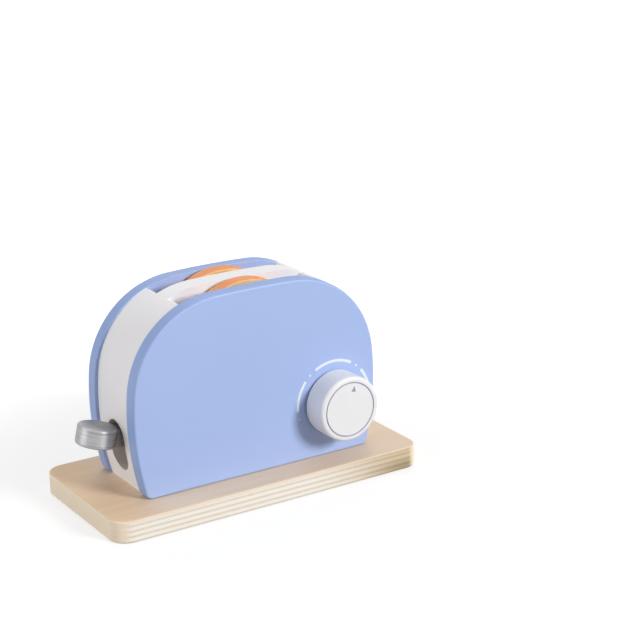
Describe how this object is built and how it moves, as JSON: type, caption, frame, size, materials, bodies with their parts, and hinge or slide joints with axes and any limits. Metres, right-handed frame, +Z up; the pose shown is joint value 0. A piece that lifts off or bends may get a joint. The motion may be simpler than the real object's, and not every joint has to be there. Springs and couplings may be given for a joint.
{
  "type": "toy toaster",
  "caption": "Wooden toy toaster on a plywood board: a pressed lever lifts the toast slices out of their slots, and a dial turns on the front.",
  "frame": {"origin": "middle of the base board's underside, where it stands on the table", "axes": "+X along the board from the lever's end to the dial's end, -Y toward the front panel with the dial, +Z up"},
  "size_m": [0.23, 0.11, 0.1436],
  "materials": {
    "plywood": "sanded plywood with a thin clear coat, layers showing on its edges",
    "blue_paint": "satin periwinkle-blue paint on wood",
    "white_paint": "satin white paint on wood",
    "toast_paint": "satin toast-brown paint with a yellow-gold face",
    "silver_paint": "metallic silver paint on turned wood",
    "dial_paint": "satin white paint on turned wood, with a printed ring and pointer",
    "bare_wood": "bare turned or sawn wood",
    "dark_washer": "thin dark fibre washer",
    "steel": "zinc-plated steel"
  },
  "bodies": {
    "toaster_body": {"base_board": "plywood", "front_panel": "blue_paint", "back_panel": "blue_paint", "front_slot_frame": "white_paint", "centre_divider": "white_paint", "back_slot_frame": "white_paint", "core_dowels": "bare_wood", "base_screws": "steel", "lever_pivot_pin": "steel", "dial_front_washer": "dark_washer"},
    "lever": {"lever_arm": "silver_paint", "lever_knob": "silver_paint", "lever_knob_dowel": "bare_wood"},
    "lifter": {"toast_lifter": "bare_wood", "lifter_crossbar": "bare_wood"},
    "front_slice": {"toast_front": "toast_paint"},
    "back_slice": {"toast_back": "toast_paint"},
    "dial": {"dial_knob": "dial_paint", "dial_axle": "bare_wood", "dial_back_washer": "steel", "dial_screw": "steel"}
  },
  "joints": [
    {"name": "lever_press", "type": "hinge", "parent": "toaster_body", "child": "lever", "pos_m": [-0.05, 0, 0.0416], "axis": [0, -1, 0], "range_deg": [0, 24]},
    {"name": "lifter_rise", "type": "slide", "parent": "toaster_body", "child": "lifter", "axis": [0, 0, 1], "range_m": [0, 0.0219]},
    {"name": "front_slice_lift_out", "type": "slide", "parent": "lifter", "child": "front_slice", "axis": [0, 0, 1], "range_m": [0, 0.1]},
    {"name": "back_slice_lift_out", "type": "slide", "parent": "lifter", "child": "back_slice", "axis": [0, 0, 1], "range_m": [0, 0.1]},
    {"name": "dial_turn", "type": "hinge", "parent": "toaster_body", "child": "dial", "pos_m": [0.0593, -0.034, 0.0519], "axis": [0, 1, 0], "continuous": true}
  ],
  "couplings": [
    {"joint": "lifter_rise", "follows": "lever_press", "m_per_rad": 0.051999}
  ]
}
